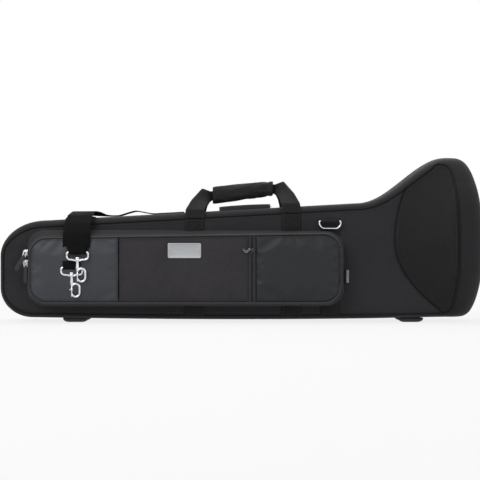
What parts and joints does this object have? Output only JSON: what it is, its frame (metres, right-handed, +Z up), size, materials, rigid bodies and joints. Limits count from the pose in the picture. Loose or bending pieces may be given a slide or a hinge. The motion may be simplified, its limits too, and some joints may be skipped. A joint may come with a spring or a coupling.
{
  "type": "trombone case",
  "caption": "Soft-covered trombone case with a flared bell end, zipped front pocket, carry handle and a shoulder strap with swivel hooks.",
  "frame": {"origin": "on the floor under the middle of the case, in the plane where the two halves meet", "axes": "+X along the case towards the bell end, -Y out of the pocket side, +Z up"},
  "size_m": [0.9624, 0.256, 0.3312],
  "materials": {
    "woven_nylon": "matte woven nylon",
    "smooth_nylon": "smooth coated nylon with a soft sheen",
    "webbing": "ribbed nylon webbing",
    "foam": "closed-cell foam",
    "plush": "short plush pile",
    "rubber": "matte moulded rubber",
    "chrome": "bright plated metal",
    "zip_coil": "nylon coil zip on woven tape",
    "leather": "smooth black leather",
    "plate_metal": "satin silver plate",
    "black_plastic": "moulded black plastic"
  },
  "bodies": {
    "rear_half": {"rear_cover": "woven_nylon", "rear_core": "foam", "rear_lining": "plush", "rear_zip_tape": "zip_coil", "hinge_strip": "webbing", "rear_web_left": "webbing", "rear_web_right": "webbing", "rear_ring_web": "webbing", "rear_foot_left": "rubber", "rear_foot_right": "rubber", "zip_hood": "woven_nylon", "slide_block_left": "foam", "slide_block_right": "foam", "bell_saddle": "foam", "bell_rim_pad": "foam", "mouthpiece_block": "foam", "compartment_wall_left": "foam", "compartment_wall_right": "foam", "strap_web": "webbing", "strap_pad": "plush"},
    "lid": {"front_cover": "woven_nylon", "front_core": "foam", "front_lining": "plush", "front_zip_tape": "zip_coil", "front_web_left": "webbing", "front_web_right": "webbing", "front_ring_web": "webbing", "front_foot_left": "rubber", "front_foot_right": "rubber", "pocket_tray": "woven_nylon", "lid_pad": "plush", "zipper_end_tab": "leather"},
    "pocket_flap": {"pocket_gusset": "woven_nylon", "pocket_panel_left": "smooth_nylon", "pocket_panel_middle": "woven_nylon", "side_zip": "zip_coil", "pocket_panel_right": "smooth_nylon", "badge_plate": "plate_metal"},
    "front_handle": {"front_handle": "webbing"},
    "rear_handle": {"rear_handle": "webbing", "handle_wrap": "woven_nylon"},
    "main_slider_left": {"main_slider_left": "chrome"},
    "main_pull_left": {"main_pull_left": "chrome"},
    "main_slider_right": {"main_slider_right": "chrome"},
    "main_pull_right": {"main_pull_right": "chrome"},
    "pocket_slider_upper": {"pocket_slider_upper": "chrome"},
    "pocket_pull_upper": {"pocket_pull_upper": "leather"},
    "pocket_slider_lower": {"pocket_slider_lower": "chrome"},
    "pocket_pull_lower": {"pocket_pull_lower": "leather"},
    "side_slider": {"side_slider": "black_plastic"},
    "side_pull": {"side_pull": "plate_metal"},
    "d_ring_front": {"d_ring_front": "chrome"},
    "d_ring_rear": {"d_ring_rear": "chrome"},
    "strap_glide": {"strap_glide": "black_plastic"},
    "hook_a_eye": {"hook_a_eye": "chrome"},
    "hook_a_body": {"hook_a_body": "chrome"},
    "hook_a_bolt": {"hook_a_bolt": "chrome"},
    "hook_b_eye": {"hook_b_eye": "chrome"},
    "hook_b_body": {"hook_b_body": "chrome"},
    "hook_b_bolt": {"hook_b_bolt": "chrome"}
  },
  "joints": [
    {"name": "lid_hinge", "type": "hinge", "parent": "rear_half", "child": "lid", "pos_m": [0, 0, 0.006], "axis": [1, 0, 0], "range_deg": [0, 120], "deforming": ["hinge_strip", "strap_web", "handle_wrap"]},
    {"name": "pocket_flap_hinge", "type": "hinge", "parent": "lid", "child": "pocket_flap", "pos_m": [0, -0.08022, 0.03848], "axis": [1, 0, 0], "range_deg": [0, 30]},
    {"name": "front_handle_hinge", "type": "hinge", "parent": "lid", "child": "front_handle", "pos_m": [-0.0906, -0.0643, 0.20845], "axis": [0.9985, 0, 0.0554], "range_deg": [0, 130]},
    {"name": "rear_handle_hinge", "type": "hinge", "parent": "rear_half", "child": "rear_handle", "pos_m": [-0.0906, 0.0863, 0.20845], "axis": [0.9985, 0, 0.0554], "range_deg": [-130, 0]},
    {"name": "main_slider_left_slide", "type": "slide", "parent": "rear_half", "child": "main_slider_left", "axis": [0.9985, 0, 0.0554], "range_m": [-0.21, 0]},
    {"name": "main_slider_right_slide", "type": "slide", "parent": "rear_half", "child": "main_slider_right", "axis": [0.9985, 0, 0.0554], "range_m": [0, 0.17]},
    {"name": "main_pull_left_hinge", "type": "hinge", "parent": "main_slider_left", "child": "main_pull_left", "pos_m": [-0.0036, 0, 0.229], "axis": [0, 1, 0], "range_deg": [0, 3]},
    {"name": "main_pull_right_hinge", "type": "hinge", "parent": "main_slider_right", "child": "main_pull_right", "pos_m": [0.0415, 0, 0.2315], "axis": [0, 1, 0], "range_deg": [-3, 0]},
    {"name": "pocket_slider_upper_slide", "type": "slide", "parent": "lid", "child": "pocket_slider_upper", "axis": [0, 0, 1], "range_m": [0, 0.015]},
    {"name": "pocket_slider_lower_slide", "type": "slide", "parent": "lid", "child": "pocket_slider_lower", "axis": [0, 0, 1], "range_m": [-0.04, 0]},
    {"name": "pocket_pull_upper_hinge", "type": "hinge", "parent": "pocket_slider_upper", "child": "pocket_pull_upper", "pos_m": [-0.4234, -0.0862, 0.1397], "axis": [0, 1, 0], "range_deg": [0, 60]},
    {"name": "pocket_pull_lower_hinge", "type": "hinge", "parent": "pocket_slider_lower", "child": "pocket_pull_lower", "pos_m": [-0.4234, -0.0862, 0.1198], "axis": [0, 1, 0], "range_deg": [0, 12]},
    {"name": "side_slider_slide", "type": "slide", "parent": "pocket_flap", "child": "side_slider", "axis": [0, 0, 1], "range_m": [-0.09, 0.012]},
    {"name": "side_pull_hinge", "type": "hinge", "parent": "side_slider", "child": "side_pull", "pos_m": [0.02155, -0.0976, 0.144], "axis": [0, 0, 1], "range_deg": [0, 100]},
    {"name": "d_ring_front_hinge", "type": "hinge", "parent": "lid", "child": "d_ring_front", "pos_m": [0.179, -0.06835, 0.2023], "axis": [1, 0, 0], "range_deg": [-170, 0]},
    {"name": "d_ring_rear_hinge", "type": "hinge", "parent": "rear_half", "child": "d_ring_rear", "pos_m": [-0.374, 0.09035, 0.1701], "axis": [1, 0, 0], "range_deg": [0, 170]},
    {"name": "strap_glide_slide", "type": "slide", "parent": "rear_half", "child": "strap_glide", "axis": [0, 0, 1], "range_m": [-0.02, 0.03]},
    {"name": "hook_a_eye_hinge", "type": "hinge", "parent": "pocket_flap", "child": "hook_a_eye", "pos_m": [-0.319, -0.106, 0.14055], "axis": [1, 0, 0], "range_deg": [-110, 0]},
    {"name": "hook_a_swivel", "type": "hinge", "parent": "hook_a_eye", "child": "hook_a_body", "pos_m": [-0.319, -0.106, 0.12], "axis": [0, 0, 1], "range_deg": [-180, 0]},
    {"name": "hook_a_bolt_slide", "type": "slide", "parent": "hook_a_body", "child": "hook_a_bolt", "axis": [0, 0, 1], "range_m": [0, 0.008], "stiffness_N_per_m": 200, "springref_m": -0.004},
    {"name": "hook_b_eye_hinge", "type": "hinge", "parent": "pocket_flap", "child": "hook_b_eye", "pos_m": [-0.331, -0.099, 0.11055], "axis": [1, 0, 0], "range_deg": [-8, 0]},
    {"name": "hook_b_swivel", "type": "hinge", "parent": "hook_b_eye", "child": "hook_b_body", "pos_m": [-0.331, -0.099, 0.09], "axis": [0, 0, 1], "range_deg": [-180, 0]},
    {"name": "hook_b_bolt_slide", "type": "slide", "parent": "hook_b_body", "child": "hook_b_bolt", "axis": [0, 0, 1], "range_m": [0, 0.008], "stiffness_N_per_m": 200, "springref_m": -0.004}
  ]
}
